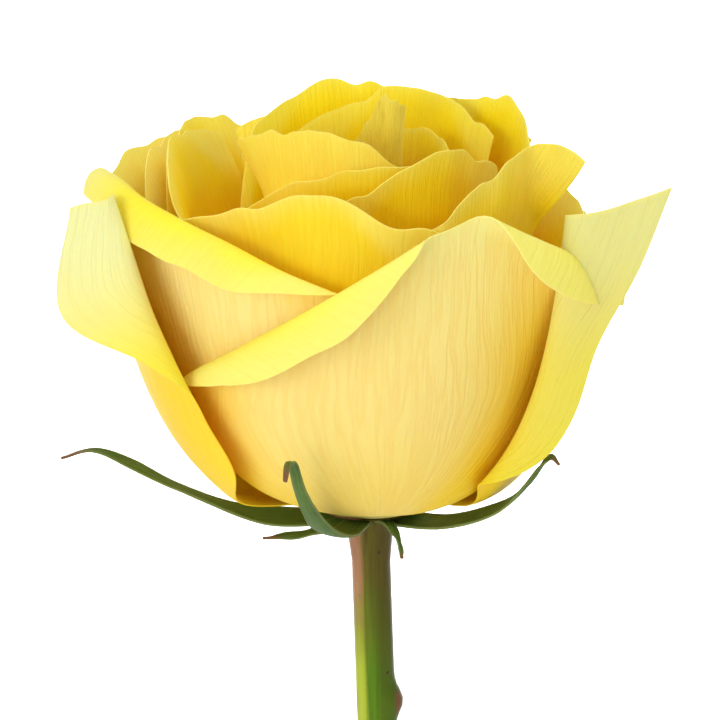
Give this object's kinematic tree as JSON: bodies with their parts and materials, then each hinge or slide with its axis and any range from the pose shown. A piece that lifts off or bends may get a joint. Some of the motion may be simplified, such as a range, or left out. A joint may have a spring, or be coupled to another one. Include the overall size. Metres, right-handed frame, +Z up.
{
  "type": "rose in vase",
  "caption": "Cut yellow rose with one open head and green sepals, its bare stem standing in a slim clear glass bud vase of water.",
  "frame": {"origin": "centre of the vase's underside", "axes": "+Z up along the vase; -Y towards the front, the side the picture was taken from; +X to the right"},
  "size_m": [0.093, 0.0891, 0.3231],
  "materials": {
    "vase_glass": "clear, polished",
    "water": "clear water",
    "stem_green": "waxy green stem and sepals",
    "petal_yellow": "soft, satin petals"
  },
  "bodies": {
    "root": {"vase": "vase_glass", "water": "water", "stem_and_sepals": "stem_green", "bloom": "petal_yellow"}
  },
  "joints": []
}
